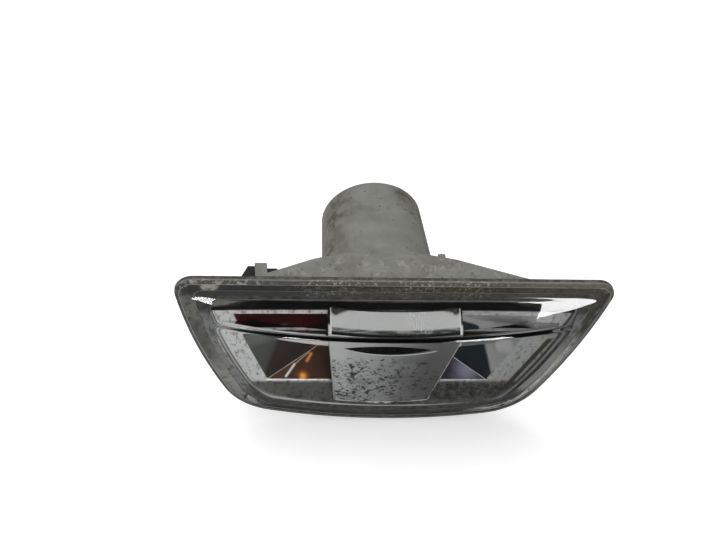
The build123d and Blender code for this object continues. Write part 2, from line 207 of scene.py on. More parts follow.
# Lights: name, direction from the lamp, distance, width and height in metres, radiance, what they show in
lights = [
    ("overhead_box", (0.0, -0.05, 1.0), 0.7, (0.9, 0.8), 0.62, "both"),
    ("top_fill", (-0.2, 0.3, 1.0), 0.8, (0.8, 0.8), 2.0, "dull"),
    ("front_fill", (-0.1, -0.9, 0.5), 0.8, (0.8, 0.6), 1.6, "dull"),
    ("right_panel", (0.381, -0.923, -0.052), 2.4, (0.4, 2.85), 20, "shiny"),
    ("left_panel", (-0.1, -0.965, -0.24), 2.4, (0.26, 1.5), 20, "shiny"),
]
steep = 0.95

# Brightness of the room: below at the left and at the right, above in front and at the back
room_low_left = 0.42
room_low_right = 0.02
room_front = 0.05
room_back = 0.4


# Curves


def arc_through(start, end, bow):
    """Centre and radius of the arc from start to end, clockwise, that stands bow outside its chord.

    The radius is chord squared over eight bows plus half a bow, and the centre lies that far inside the
    arc's top.
    """
    start, end = np.array(start), np.array(end)
    chord = end - start
    length = np.hypot(*chord)
    radius = length**2 / (8 * bow) + bow / 2
    inwards = np.array([chord[1], -chord[0]]) / length
    return (start + end) / 2 + inwards * (radius - bow), radius


def outline_sides():
    """The flange's four sides as circles, clockwise from the top. The straight top is a very flat arc."""
    corners = [
        (-top_width / 2, top_z),
        (top_width / 2, top_z),
        (bottom_width / 2, bottom_z - bottom_tilt / 2),
        (-bottom_width / 2, bottom_z + bottom_tilt / 2),
    ]
    top_bow = top_width**2 / (8 * straight_r)
    bows = (top_bow, side_bow, bottom_bow, side_bow)
    ends = corners[1:] + corners[:1]
    return [arc_through(a, b, bow) for a, b, bow in zip(corners, ends, bows)], ends


def arc_points(centre, radius, start, end, steps):
    """Points on a circle from the direction of start to the direction of end, the short way round."""
    first = np.arctan2(*(start - centre)[::-1])
    turn = np.arctan2(*(end - centre)[::-1]) - first
    turn = (turn + np.pi) % (2 * np.pi) - np.pi
    angle = first + turn * np.linspace(0, 1, steps)
    return centre + radius * np.stack([np.cos(angle), np.sin(angle)], axis=1)


def flange_outline(inset):
    """Closed outline moved inwards by inset, as (x, z) points clockwise: four arcs joined by round corners.

    Each corner's centre is where its two sides, moved in by the inset and the corner's radius, cross.
    """
    sides, corners = outline_sides()
    top_r = max(top_corner_r - inset, inner_corner_r)
    low_r = max(bottom_corner_r - inset, inner_corner_r)
    rounds = (top_r, low_r, low_r, top_r)
    centres, before, after = [], [], []
    for side, corner in enumerate(corners):
        (c1, r1), (c2, r2) = sides[side], sides[(side + 1) % 4]
        r1, r2 = r1 - inset - rounds[side], r2 - inset - rounds[side]
        apart = np.hypot(*(c2 - c1))
        along = (apart**2 + r1**2 - r2**2) / (2 * apart)
        across = np.sqrt(r1**2 - along**2)
        unit = (c2 - c1) / apart
        normal = np.array([-unit[1], unit[0]])
        options = [c1 + unit * along + normal * across * way for way in (-1, 1)]
        centre = min(options, key=lambda point: np.hypot(*(point - np.array(corner))))
        centres.append(centre)
        before.append(centre + (centre - c1) / r1 * rounds[side])
        after.append(centre + (centre - c2) / r2 * rounds[side])
    runs = []
    for side, (centre, radius) in enumerate(sides):
        runs.append(arc_points(centre, radius - inset, after[side - 1], before[side], side_points))
        runs.append(arc_points(centres[side], rounds[side], before[side], after[side], corner_points))
    return np.concatenate(runs) + [flange_x, 0]


def outline_halves(inset):
    """The outline's upper and lower half, each from the crease's left end to its right in equal steps."""
    points = flange_outline(inset)
    above = points[:, 1] > crease_z
    start = np.flatnonzero(above & ~np.roll(above, 1))[0]
    points = np.roll(points, -start, axis=0)
    above = np.roll(above, -start)
    count = above.sum()
    loop = np.concatenate([points[-1:], points, points[:1]])

    def crossing(a, b):
        share = (crease_z - a[1]) / (b[1] - a[1])
        return (a + share * (b - a))[None]

    left = crossing(loop[0], loop[1])
    right = crossing(loop[count], loop[count + 1])
    upper = np.concatenate([left, points[:count], right])
    lower = np.concatenate([right, points[count:], left])[::-1]
    return equal_steps(upper), equal_steps(lower)


def equal_steps(points):
    """The same path in half_steps equal steps along its length."""
    length = np.concatenate([[0], np.cumsum(np.hypot(*np.diff(points, axis=0).T))])
    wanted = np.linspace(0, length[-1], half_steps)
    return np.stack([np.interp(wanted, length, points[:, i]) for i in (0, 1)], axis=1)


def outline_loop(inset):
    """The outline as one closed loop: the upper half from left to right, then the lower half back."""
    upper, lower = outline_halves(inset)
    return np.concatenate([upper, lower[-2:0:-1]])


def prow_y(points, wall):
    """Depth of the dome's surface at (x, z) points, wall below the outside.

    Two slopes meet at the crease. The crease's depth falls off sideways a little faster than an ellipse,
    and the slopes are joined by a smooth maximum: half the sum plus half the root of the squared difference
    and rounding. Outside, a hollow valley joins the upper slope to the flange: the lower of the two less
    the squared overlap over four valleys.
    """
    x, z = points[..., 0] - flange_x, points[..., 1]
    depth = crease_depth * np.maximum(0, 1 - (x / dome_reach) ** 2) ** crease_fall
    rise = depth / (dome_top_z - crease_z)
    fall = (depth - dome_foot) / (crease_z - dome_low_z)
    upper = front_y - rise * (dome_top_z - z) + wall * np.sqrt(1 + rise**2)
    lower = front_y - dome_foot - fall * (z - dome_low_z) + wall * np.sqrt(1 + fall**2)
    rounding = inner_crease_round if wall else crease_round
    meet = (upper + lower + np.sqrt((upper - lower) ** 2 + 4 * rounding**2)) / 2
    flange = front_y + wall
    if wall:
        return np.minimum(meet, flange)
    valley = np.maximum(rise * valley_run, tiny)
    return np.minimum(meet, flange) - np.maximum(0, valley - np.abs(meet - flange)) ** 2 / (4 * valley)


def opened(loop):
    """The dome's outside outline, spread sideways and raised by the valley towards its top corners."""
    share = np.clip((loop[:, 1] - crease_z) / (dome_top_z - crease_z), 0, 1)
    wide = 1 + corner_spread / dome_reach * share
    return np.stack([flange_x + (loop[:, 0] - flange_x) * wide, loop[:, 1] + valley_run * share], axis=1)


# Meshes


def add_object(name, data):
    """A new object in the scene."""
    made = bpy.data.objects.new(name, data)
    bpy.context.scene.collection.objects.link(made)
    return made


def add_piece(name, points, faces, body, finish, slot, **values):
    """A mesh object from points in millimetres, riding on a body, with values stored on its points."""
    mesh = bpy.data.meshes.new(name)
    mesh.from_pydata(np.asarray(points) * MM, [], faces)
    mesh.polygons.foreach_set("use_smooth", np.ones(len(mesh.polygons), bool))
    mesh.set_sharp_from_angle(angle=np.radians(sharp_angle))
    for value, level in values.items():
        mesh.attributes.new(value, "FLOAT", "POINT").data.foreach_set("value", level.astype(np.float32))
    mesh.materials.append(finish)
    piece = add_object(name, mesh)
    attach(piece, body)
    return piece


def grid_faces(rows, columns, first=0, closed=False):
    """Quads of a grid of points stored row by row, joined round each row where it is closed."""
    row = np.arange(rows - 1)[:, None]
    column = np.arange(columns if closed else columns - 1)[None]
    after = (column + 1) % columns
    a = first + row * columns + column
    b = first + row * columns + after
    return np.stack([a, b, b + columns, a + columns], axis=-1).reshape(-1, 4)


def merged(points, faces):
    """The mesh with points at one place made one and flat quads made triangles, and the points kept."""
    keys = np.round(points / merge_step).astype(np.int64)
    _, first, place = np.unique(keys, axis=0, return_index=True, return_inverse=True)
    faces = place.reshape(-1)[faces]
    doubled = faces == np.roll(faces, -1, axis=1)
    count = doubled.sum(axis=1)
    triangles = faces[count == 1][~doubled[count == 1]].reshape(-1, 3)
    return points[first], faces[count == 0].tolist() + triangles.tolist(), first


def at_depth(loop, y):
    """(x, z) points given a depth, as (x, y, z)."""
    return np.stack([loop[..., 0], np.broadcast_to(y, loop.shape[:-1]), loop[..., 1]], axis=-1)


def dome_patches(inset, wall):
    """The dome's surface as two grids of rows from the outline's halves to the crease.

    A row lies a share of the way from the outline to the crease, half of one minus a cosine, so that rows
    are close together at both ends.
    """
    upper, lower = outline_halves(inset)
    crease_x = np.linspace(upper[0, 0], upper[-1, 0], half_steps)
    crease = np.stack([crease_x, np.full(half_steps, crease_z)], axis=1)
    share = (1 - np.cos(np.pi * np.linspace(0, 1, dome_rows))) / 2
    for edge in (upper if wall else opened(upper), lower):
        rows = edge[None] + share[:, None, None] * (crease - edge)[None]
        yield at_depth(rows, prow_y(rows, wall))


def lens_surface():
    """The clear lens as one closed skin, and each point's share of grime on rim and weld and of inner wall.

    Loops of the flange outline follow the rim's profile from the inner wall round the rear, the rounded
    edge and the flange's face to the dome's wall. The dome's two skins close it.
    """
    quarter = np.linspace(0, np.pi / 2, round_steps)
    inner = outline_loop(dome_inset + lens_wall)
    none, full = np.zeros(len(inner)), np.ones(len(inner))
    low = np.clip((low_wall_z - inner[:, 1]) / low_wall_run, 0, 1)
    loops = [at_depth(inner, prow_y(inner, lens_wall)), at_depth(inner, -weld_gap)]
    loops.append(at_depth(outline_loop(weld_inset), -weld_gap))
    loops += [at_depth(outline_loop(inset), 0) for inset in (weld_inset - weld_fade, rim_grime)]
    rim = [low, full, full, none, none]
    for angle in quarter:
        loop = outline_loop(rear_edge_r * (1 - np.sin(angle)))
        loops.append(at_depth(loop, -rear_edge_r * (1 - np.cos(angle))))
        rim.append(full)
    for angle in quarter:
        loop = outline_loop(flange_edge_r * (1 - np.cos(angle)))
        loops.append(at_depth(loop, front_y + flange_edge_r * (1 - np.sin(angle))))
        rim.append(full)
    loops.append(at_depth(outline_loop(flange_edge_r + rim_fade), front_y))
    edge = opened(outline_loop(dome_inset))
    edge_y = prow_y(edge, 0)
    room = np.minimum(wall_round, (front_y - edge_y) / 2)
    before = opened(outline_loop(dome_inset - wall_round))
    for angle in quarter:
        share = (room / wall_round * (1 - np.sin(angle)))[:, None]
        loops.append(at_depth(edge + share * (before - edge), front_y - room * (1 - np.cos(angle))))
    loops.append(at_depth(edge, edge_y))
    rim += [none] * (len(loops) - len(rim))
    skins = [np.concatenate(loops)]
    faces = [grid_faces(len(loops), len(inner), closed=True)[:, ::-1]]
    count = len(skins[0])
    for inset, wall in ((dome_inset, 0), (dome_inset + lens_wall, lens_wall)):
        for half, patch in enumerate(dome_patches(inset, wall)):
            quads = grid_faces(dome_rows, half_steps, count)
            faces.append(quads[:, ::-1] if (wall == 0) == (half == 0) else quads)
            skins.append(patch.reshape(-1, 3))
            count += dome_rows * half_steps
    points, faces, first = merged(np.concatenate(skins), np.concatenate(faces))
    share, wall = np.zeros((2, count))
    share[: len(skins[0])] = np.concatenate(rim)
    wall[: 2 * len(inner)] = 1
    return points, faces, share[first], wall[first]


def grime_film():
    """Thin closed ring behind the flange, and each point's distance from the flange's edge.

    Four loops of the outline, two insets at two depths, are joined round the ring's section.
    """
    section = [
        (film_outer_inset, film_front_y),
        (film_inner_inset, film_front_y),
        (film_inner_inset, film_back_y),
        (film_outer_inset, film_back_y),
    ]
    loops = [at_depth(outline_loop(inset), y) for inset, y in section]
    count = len(loops[0])
    faces = grid_faces(len(loops) + 1, count, closed=True) % (count * len(loops))
    insets = np.repeat([inset for inset, _ in section], count)
    return np.concatenate(loops), faces[:, ::-1].tolist(), insets


def softened_copy(node, name, body, finish, edge_r, steps=2, chosen=None):
    """A CAD node's mesh with its flat faces whole and its edges rounded, in the node's place.

    All sharp edges are rounded, or only those that chosen picks by the places of their two ends.
    """
    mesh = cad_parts[node].data.copy()
    mesh.name = name
    work = bmesh.new()
    work.from_mesh(mesh)
    bmesh.ops.remove_doubles(work, verts=work.verts, dist=weld_distance * MM)
    bmesh.ops.dissolve_limit(work, angle_limit=np.radians(flat_angle), verts=work.verts, edges=work.edges)
    work.to_mesh(mesh)
    work.free()
    mesh.polygons.foreach_set("use_smooth", np.ones(len(mesh.polygons), bool))
    mesh.materials.clear()
    mesh.materials.append(finish)
    piece = add_object(name, mesh)
    rounded = piece.modifiers.new("edges", "BEVEL")
    rounded.width = edge_r * MM
    rounded.segments = steps
    rounded.limit_method = "ANGLE"
    rounded.angle_limit = np.radians(edge_angle)
    rounded.harden_normals = True
    if chosen:
        points = np.empty(3 * len(mesh.vertices), np.float32)
        ends = np.empty(2 * len(mesh.edges), np.int32)
        mesh.vertices.foreach_get("co", points)
        mesh.edges.foreach_get("vertices", ends)
        picked = chosen(points.reshape(-1, 3)[ends.reshape(-1, 2)] / MM)
        weights = mesh.attributes.new("bevel_weight_edge", "FLOAT", "EDGE")
        weights.data.foreach_set("value", picked.astype(np.float32))
        rounded.limit_method = "WEIGHT"
        rounded.use_clamp_overlap = False
        mesh.set_sharp_from_angle(angle=np.radians(sharp_angle))
    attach(piece, body)
    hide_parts(node)


def keystone_edges(ends):
    """Edges of the keystone whose two ends both lie on one side, the top, the foot or the crease.

    The sides are upright down to the crease and then lean in to the foot. The edges where the side bars
    join are left.
    """
    x, y, z = np.moveaxis(ends, 2, 0)
    lean = np.clip((trim_crease_z - z) / (trim_crease_z - trim_foot_z), 0, 1)
    half = trim_top_half + lean * (trim_foot_half - trim_top_half)
    across = x - flange_x
    bar = np.all((z > trim_bar_low) & (z < trim_bar_high), axis=1)
    side = np.all(across > half - edge_slack, axis=1) | np.all(across < edge_slack - half, axis=1)
    beyond = np.any(np.abs(across) > half + edge_slack, axis=1)
    top = np.all(z > trim_top_z - edge_slack, axis=1)
    foot = np.all((z < trim_foot_z + edge_slack) & (y < trim_foot_front_y), axis=1)
    crease = np.all((np.abs(z - trim_crease_z) < edge_slack) & (y < trim_crease_front_y), axis=1)
    return (side & ~beyond & ~bar) | top | foot | crease


# Finishes


def feed(socket, value):
    """Sets a node's socket to a value, or links it from another node's socket."""
    if isinstance(value, bpy.types.NodeSocket):
        socket.id_data.links.new(value, socket)
    else:
        socket.default_value = value


def add_node(tree, kind, inputs=(), **settings):
    """A node with its settings, and its inputs given as values or linked from sockets."""
    node = tree.nodes.new(kind)
    for key, value in settings.items():
        setattr(node, key, value)
    for key, value in dict(inputs).items():
        feed(node.inputs[key], value)
    return node


class Finish:
    """A material being made: its shader, the place in millimetres and short ways to add nodes."""

    def __init__(self, name, **sockets):
        self.material = bpy.data.materials.new(name)
        self.material.use_nodes = True
        tree = self.material.node_tree
        tree.nodes.clear()
        self.node = partial(add_node, tree)
        self.shader = self.node("ShaderNodeBsdfPrincipled")
        self.output = self.node("ShaderNodeOutputMaterial", {"Surface": self.shader.outputs[0]})
        coordinates = self.node("ShaderNodeTexCoord")
        self.place = self.vector("SCALE", {0: coordinates.outputs["Object"], "Scale": 1 / MM})
        self.axes = tuple(self.node("ShaderNodeSeparateXYZ", {0: self.place}).outputs)
        self.facing = self.node("ShaderNodeSeparateXYZ", {0: coordinates.outputs["Normal"]}).outputs
        for socket, value in sockets.items():
            self.set(socket.replace("_", " ").title(), value)

    def set(self, socket, value):
        """Sets or links one of the shader's own sockets."""
        feed(self.shader.inputs[{"Ior": "IOR"}.get(socket, socket)], value)

    def vector(self, operation, inputs, output=0):
        """One operation on places or directions."""
        return self.node("ShaderNodeVectorMath", inputs, operation=operation).outputs[output]

    def spread(self, stretch, shift):
        """The place on the lamp, stretched and shifted for a texture."""
        inputs = {"Vector": self.place, "Scale": stretch, "Location": (shift,) * 3}
        return self.node("ShaderNodeMapping", inputs).outputs[0]

    def noise(self, size, detail=3, roughness=0.55, stretch=(1, 1, 1), shift=0):
        """Cloudy noise with features of about that size in millimetres."""
        place = self.spread(stretch, shift)
        inputs = {"Vector": place, "Scale": 1 / size, "Detail": detail, "Roughness": roughness}
        return self.node("ShaderNodeTexNoise", inputs).outputs["Fac"]

    def patches(self, size, low, high, **kind):
        """Share of cloudy patches: noise of that size, stepped from low to high."""
        return self.step(self.noise(size, **kind), low, high)

    def cells(self, size, shift=0):
        """Distance from scattered points about that many millimetres apart, in units of that distance."""
        inputs = {"Vector": self.spread((1, 1, 1), shift), "Scale": 1 / size}
        return self.node("ShaderNodeTexVoronoi", inputs).outputs["Distance"]

    def stored(self, name):
        """A value stored on the mesh's points."""
        return self.node("ShaderNodeAttribute", attribute_name=name).outputs["Fac"]

    def math(self, operation, a, b=0.0):
        """One sum, product or other operation on two values."""
        return self.node("ShaderNodeMath", {0: a, 1: b}, operation=operation).outputs[0]

    def scaled(self, value, factor):
        """A value times a number."""
        return self.math("MULTIPLY", value, factor)

    def less(self, share):
        """One minus a share."""
        return self.math("SUBTRACT", 1.0, share)

    def both(self, *shares):
        """The product of several shares: high only where all are."""
        return reduce(partial(self.math, "MULTIPLY"), shares)

    def any(self, *shares):
        """The highest of several shares."""
        return reduce(partial(self.math, "MAXIMUM"), shares)

    def step(self, value, low, high):
        """Smooth step from 0 at low to 1 at high, which may be the lower of the two."""
        inputs = {"Value": value, "From Min": low, "From Max": high}
        return self.node("ShaderNodeMapRange", inputs, interpolation_type="SMOOTHSTEP").outputs[0]

    def band(self, value, start, full, last, end):
        """Smooth rise from 0 at start to 1 at full, and fall from 1 at last to 0 at end."""
        return self.both(self.step(value, start, full), self.step(value, end, last))

    def within(self, away, radius, soft):
        """1 under a radius and 0 beyond it, over a soft edge that is a share of the radius."""
        return self.step(away, radius * (1 + soft), radius * (1 - soft))

    def spot(self, centre, radius, soft):
        """1 within a radius of a point and 0 outside it, over a soft edge."""
        return self.within(self.vector("DISTANCE", {0: self.place, 1: centre}, "Value"), radius, soft)

    def stroke(self, start, end, radius, soft):
        """1 within a radius of the line between two points and 0 outside it, over a soft edge."""
        run = np.subtract(end, start)
        offset = self.vector("SUBTRACT", {0: self.place, 1: start})
        along = self.vector("DOT_PRODUCT", {0: offset, 1: tuple(run / np.dot(run, run))}, "Value")
        along = self.node("ShaderNodeMath", {0: along, 1: 0.0}, operation="ADD", use_clamp=True).outputs[0]
        foot = self.vector("SCALE", {0: tuple(run), "Scale": along})
        return self.within(self.vector("DISTANCE", {0: offset, 1: foot}, "Value"), radius, soft)

    def mix(self, share, first, second):
        """Colour between two colours by a share."""
        node = self.node("ShaderNodeMix", {"Factor": share}, data_type="RGBA")
        for socket, colour in zip([s for s in node.inputs if s.type == "RGBA"], (first, second)):
            feed(socket, colour if isinstance(colour, bpy.types.NodeSocket) else (*colour, 1))
        return next(s for s in node.outputs if s.type == "RGBA")

    def paint(self, base, colour, share, strength=None):
        """A base colour painted over with another by a share, at full strength or less."""
        return self.mix(self.scaled(share, strength) if strength else share, base, colour)

    def bump(self, height, strength, distance=0.1):
        """Links a bump of that height, with its distance in millimetres, to the shader."""
        inputs = {"Height": height, "Strength": strength, "Distance": distance * MM}
        self.set("Normal", self.node("ShaderNodeBump", inputs).outputs[0])


def grey(level):
    """A neutral colour."""
    return (level, level, level)


# Colours of the road dirt on the lens and its flange
dirt_left = (0.017, 0.0165, 0.0155)
dirt_brown = (0.032, 0.027, 0.012)
dirt_olive = (0.042, 0.031, 0.013)
dirt_tan = (0.075, 0.067, 0.044)
dirt_blotch = (0.012, 0.011, 0.01)
dirt_black = (0.01, 0.009, 0.008)
dirt_grit = (0.4, 0.385, 0.325)
dirt_crust = (0.36, 0.35, 0.3)
dirt_blob = (0.42, 0.4, 0.35)
rim_black = (0.01, 0.0095, 0.008)
rim_brown = (0.075, 0.071, 0.06)
shelf_pale = (0.15, 0.148, 0.138)
shelf_dark = (0.05, 0.048, 0.042)
clear_tint = (0.95, 0.96, 0.95)
side_dark = (0.08, 0.077, 0.072)
side_pale = (0.17, 0.165, 0.152)
side_low_right = (0.5, 0.49, 0.46)
side_low_left = (0.3, 0.295, 0.28)
side_high_right = (0.05, 0.044, 0.034)
bottom_black = (0.03, 0.03, 0.028)
edge_black = (0.015, 0.0145, 0.013)
chip_pale = (0.5, 0.52, 0.49)
chip_grey = (0.3, 0.31, 0.29)

# Colours of the housing's plastic, its stains and its grime
housing_dark = (0.16, 0.159, 0.141)
housing_light = (0.205, 0.205, 0.188)
stain_olive = (0.07, 0.064, 0.038)
mark_brown = (0.035, 0.028, 0.02)
housing_grime = (0.085, 0.078, 0.058)
shoulder_pale = (0.27, 0.268, 0.245)
shoulder_soil = (0.07, 0.064, 0.046)
housing_speck = (0.05, 0.045, 0.035)
# Painted shade inside the housing behind the flange, darker high up
inside_shade_grey = (0.11, 0.108, 0.1)
inside_shade_black = (0.018, 0.017, 0.014)

# Colours of the metallised coats
bezel_low_left = (0.14, 0.138, 0.125)
bezel_low_right = (0.135, 0.131, 0.118)
bezel_soil = (0.1, 0.096, 0.085)
bezel_low_soil = (0.016, 0.015, 0.012)
# Painted shade in the gap at the bezel's right end
gap_shade_brown = (0.03, 0.023, 0.014)
# Painted reflections in the funnel's coat, and painted glints and highlights on its floor
reflection_brown = (0.035, 0.013, 0.007)
reflection_maroon = (0.055, 0.004, 0.004)
reflection_strip_grey = (0.12, 0.125, 0.117)
shade_blue = (0.03, 0.042, 0.05)
reflection_violet = (0.3, 0.28, 0.42)
reflection_floor_brown = (0.15, 0.066, 0.028)
painted_floor_reflection = (0.36, 0.37, 0.46)
amber = (0.85, 0.22, 0.01)
amber_core = (1.0, 0.55, 0.1)
painted_floor_edge_highlight = (0.7, 0.62, 0.55)
painted_streak_highlight = (1.0, 0.95, 0.92)
trim_speck = (0.02, 0.02, 0.018)


def top_dirt(coat):
    """Colour of the dirt along the flange's top.

    It is dark grey at the left and olive to the right, with dark blotches and specks and pale grit.
    """
    x = coat.axes[0]
    colour = coat.mix(coat.step(x, -30, -8), dirt_left, dirt_brown)
    colour = coat.paint(colour, dirt_olive, coat.band(x, 2, 10, 22, 36))
    colour = coat.paint(colour, dirt_tan, coat.step(x, 26, 40))
    blotches = coat.patches(1.8, 0.47, 0.6, detail=7, roughness=0.75)
    colour = coat.paint(colour, dirt_blotch, blotches, 0.8)
    specks = coat.both(coat.step(coat.cells(0.7, shift=5), 0.36, 0.2), coat.step(x, -34, -18))
    colour = coat.paint(colour, dirt_black, specks, 0.7)
    grit = coat.patches(1.0, 0.52, 0.6, detail=8, roughness=0.8, shift=3)
    crowds = coat.patches(11, 0.3, 0.52, shift=17)
    grit = coat.both(grit, crowds, coat.band(x, -28, -16, 10, 44))
    return coat.paint(colour, dirt_grit, grit, 0.85)


def pale_seam(coat):
    """Share of the pale dirt that sits in broken patches at the flange's edge."""
    return coat.patches(1.2, 0.48, 0.6, detail=6, roughness=0.7, shift=11)


def clear_plastic():
    """Clear acrylic with grime on its rim and its weld.

    The grime is dark on the rim, grey behind the sides, crusted along the top and pale low inside, with a
    painted highlight along the dome's lower edge. The lights' direct light goes straight through.
    """
    coat = Finish("clear_acrylic", ior=1.49)
    x, y, z = coat.axes
    top = top_dirt(coat)
    dirt = coat.mix(coat.patches(1.5, 0.4, 0.65, detail=6, shift=4), rim_black, rim_brown)
    rear = coat.step(y, -0.2, -0.1)
    flecks = coat.patches(1.4, 0.46, 0.6, detail=7, roughness=0.7, shift=15)
    sides = coat.mix(flecks, grey(0.3), grey(0.08))
    sides = coat.paint(sides, grey(0.42), coat.both(coat.step(x, 18, 34), coat.step(z, 2, -6)))
    dirt = coat.paint(dirt, sides, coat.both(rear, coat.band(z, -23, -19, 5, 9)))
    line = coat.band(y, -1.6, -1.3, -1.15, -1.0)
    broken = coat.both(pale_seam(coat), coat.step(x, -26, -38))
    crust = coat.any(coat.scaled(line, 0.35), coat.scaled(broken, 0.7))
    crust = coat.paint(top, dirt_crust, crust)
    dirt = coat.paint(dirt, crust, coat.both(coat.step(y, -0.9, -1.2), coat.step(z, 16.5, 17.5)))
    dirt = coat.paint(dirt, top, coat.both(rear, coat.step(z, 12.9, 13.6)))
    shelf = coat.mix(coat.patches(1.6, 0.42, 0.6, detail=7, roughness=0.7), shelf_pale, shelf_dark)
    # Painted highlight along the dome's lower edge, on the shelf's front
    shelf = coat.paint(shelf, grey(0.8), coat.both(coat.step(y, -1.3, -1.5), coat.step(x, 30, 8)))
    dirt = coat.paint(dirt, shelf, coat.both(coat.stored("wall"), coat.step(z, -19, -21)))
    grime = coat.scaled(coat.step(coat.stored("rim"), 0.15, 0.9), 0.97)
    coat.set("Base Color", coat.mix(grime, clear_tint, dirt))
    coat.set("Roughness", coat.math("ADD", coat.scaled(grime, 0.7), 0.015))
    coat.set("Transmission Weight", coat.less(grime))
    path = coat.node("ShaderNodeLightPath")
    through = coat.node("ShaderNodeBsdfTransparent")
    ways = {0: path.outputs["Is Shadow Ray"], 1: coat.shader.outputs[0], 2: through.outputs[0]}
    choose = coat.node("ShaderNodeMixShader", ways)
    feed(coat.output.inputs["Surface"], choose.outputs[0])
    return coat.material


def flange_grime():
    """Road dirt seen through the flange.

    The sides are grey with dark specks, lighter low down. The edge and the bottom are dark, with a broken
    pale seam along the top, and a chip, a crack and a nick low down.
    """
    coat = Finish("flange_grime", roughness=0.85)
    x, _, z = coat.axes
    inset = coat.stored("inset")
    mottle = coat.noise(1.8, detail=7, roughness=0.7)
    side = coat.mix(coat.patches(5, 0.35, 0.65, shift=7), side_dark, side_pale)
    regions = [
        (side_low_right, coat.step(x, 18, 34), coat.step(z, 2, -8)),
        (side_low_left, coat.step(x, -24, -30), coat.step(z, -8, -16)),
        (side_high_right, coat.step(x, 40, 47), coat.step(z, -4, 4)),
        (bottom_black, coat.band(x, -33, -30, 24, 32), coat.step(z, -25, -29)),
    ]
    for colour, across, height in regions:
        side = coat.paint(side, colour, coat.both(across, height))
    side = coat.paint(side, dirt_blotch, coat.step(mottle, 0.48, 0.66), 0.8)
    base = coat.mix(coat.step(z, 12.5, 14.5), side, top_dirt(coat))
    seam = coat.both(coat.band(inset, 0.9, 1.2, 1.5, 1.9), pale_seam(coat), coat.step(z, 2, 6))
    base = coat.paint(base, dirt_crust, seam, 0.6)
    blob = coat.both(coat.spot(pale_blob, 2.2, 0.25), coat.step(mottle, 0.35, 0.5))
    base = coat.paint(base, dirt_blob, blob)
    base = coat.paint(base, edge_black, coat.both(coat.step(inset, 0.8, 0.5), coat.step(z, 15, 12)))
    chipped = coat.mix(coat.step(mottle, 0.4, 0.6), chip_pale, chip_grey)
    base = coat.paint(base, chipped, coat.stroke(chip_start, chip_end, 1.0, 0.15))
    crack = coat.stroke(crack_start, crack_end, 0.35, 0.3)
    nick = coat.both(coat.spot(low_nick, 0.9, 0.2), coat.patches(0.9, 0.42, 0.5, shift=6))
    dark = coat.any(crack, coat.spot(flake, 0.6, 0.3), nick)
    coat.set("Base Color", coat.paint(base, dirt_black, dark))
    coat.bump(mottle, 0.4)
    return coat.material


def housing_plastic():
    """Light grey moulded plastic, clouded and specked.

    The tube has olive stains and dark marks, the shoulder is mottled, and the inside behind the flange is
    painted dark as shade.
    """
    coat = Finish("grey_moulded_plastic", roughness=0.6)
    _, y, z = coat.axes
    base = coat.mix(coat.patches(7, 0.3, 0.7, detail=6, roughness=0.6), housing_dark, housing_light)
    stained = coat.any(*[coat.spot(place, radius, mark_soft) for place, radius in olive_stains])
    marked = coat.any(*[coat.spot(place, radius, mark_soft) for place, radius in dark_marks])
    shoulder = coat.step(y, 16, 9)
    stain = coat.both(stained, coat.patches(3.0, 0.42, 0.62, detail=7, roughness=0.65, shift=5))
    mark = coat.both(marked, coat.patches(1.3, 0.5, 0.62, detail=7, roughness=0.7, shift=2))
    grime = coat.patches(9, 0.5, 0.72, detail=8, roughness=0.7, shift=30)
    pale = coat.both(shoulder, coat.patches(2.2, 0.52, 0.66, detail=7, roughness=0.7, shift=21))
    soil = coat.both(shoulder, coat.patches(1.7, 0.53, 0.66, detail=8, roughness=0.75, shift=13))
    base = coat.paint(base, stain_olive, stain, 0.9)
    base = coat.paint(base, mark_brown, mark, 0.85)
    base = coat.paint(base, housing_grime, grime, 0.6)
    base = coat.paint(base, shoulder_pale, pale, 0.8)
    base = coat.paint(base, shoulder_soil, soil, 0.7)
    base = coat.paint(base, housing_speck, coat.step(coat.cells(2.6), 0.17, 0.07), 0.7)
    # Painted shade inside the housing behind the flange, darkest high up
    inside_shade = coat.mix(coat.step(z, 6, 10), inside_shade_grey, inside_shade_black)
    base = coat.paint(base, inside_shade, coat.step(y, 1.6, 0.8), 0.95)
    coat.set("Base Color", base)
    coat.bump(coat.noise(0.7), 0.15)
    return coat.material


def bezel_coat(coat, bezel):
    """Colour of the reflector's bezel, and the share of the painted shade at its right end.

    It is satin with specks, darker to the right and low down, with painted shade of a gap down its right
    end.
    """
    x, _, z = coat.axes
    low = coat.step(z, -17.5, -19.5)
    satin = coat.mix(coat.step(x, -20, 40), grey(0.78), grey(0.44))
    satin = coat.paint(satin, coat.mix(coat.step(x, -10, 20), bezel_low_left, bezel_low_right), low)
    dust = coat.patches(1.6, 0.5, 0.62, detail=8, roughness=0.7, stretch=(1.4, 1, 0.8))
    low_dust = coat.patches(1.7, 0.42, 0.58, detail=7, roughness=0.7, shift=12)
    low_dust = coat.both(low_dust, low, coat.step(x, -5, 15))
    dust = coat.any(coat.scaled(dust, 0.75), coat.scaled(low_dust, 0.95))
    satin = coat.paint(satin, coat.mix(low, bezel_soil, bezel_low_soil), dust)
    # Painted shade of the gap at the bezel's right end
    slant = coat.math("SUBTRACT", x, coat.scaled(z, gap_shade_lean))
    seam = coat.both(coat.band(slant, 42.8, 43.1, 44.3, 44.6), bezel, coat.step(z, -1.0, -2.0))
    return coat.paint(satin, gap_shade_brown, seam), seam


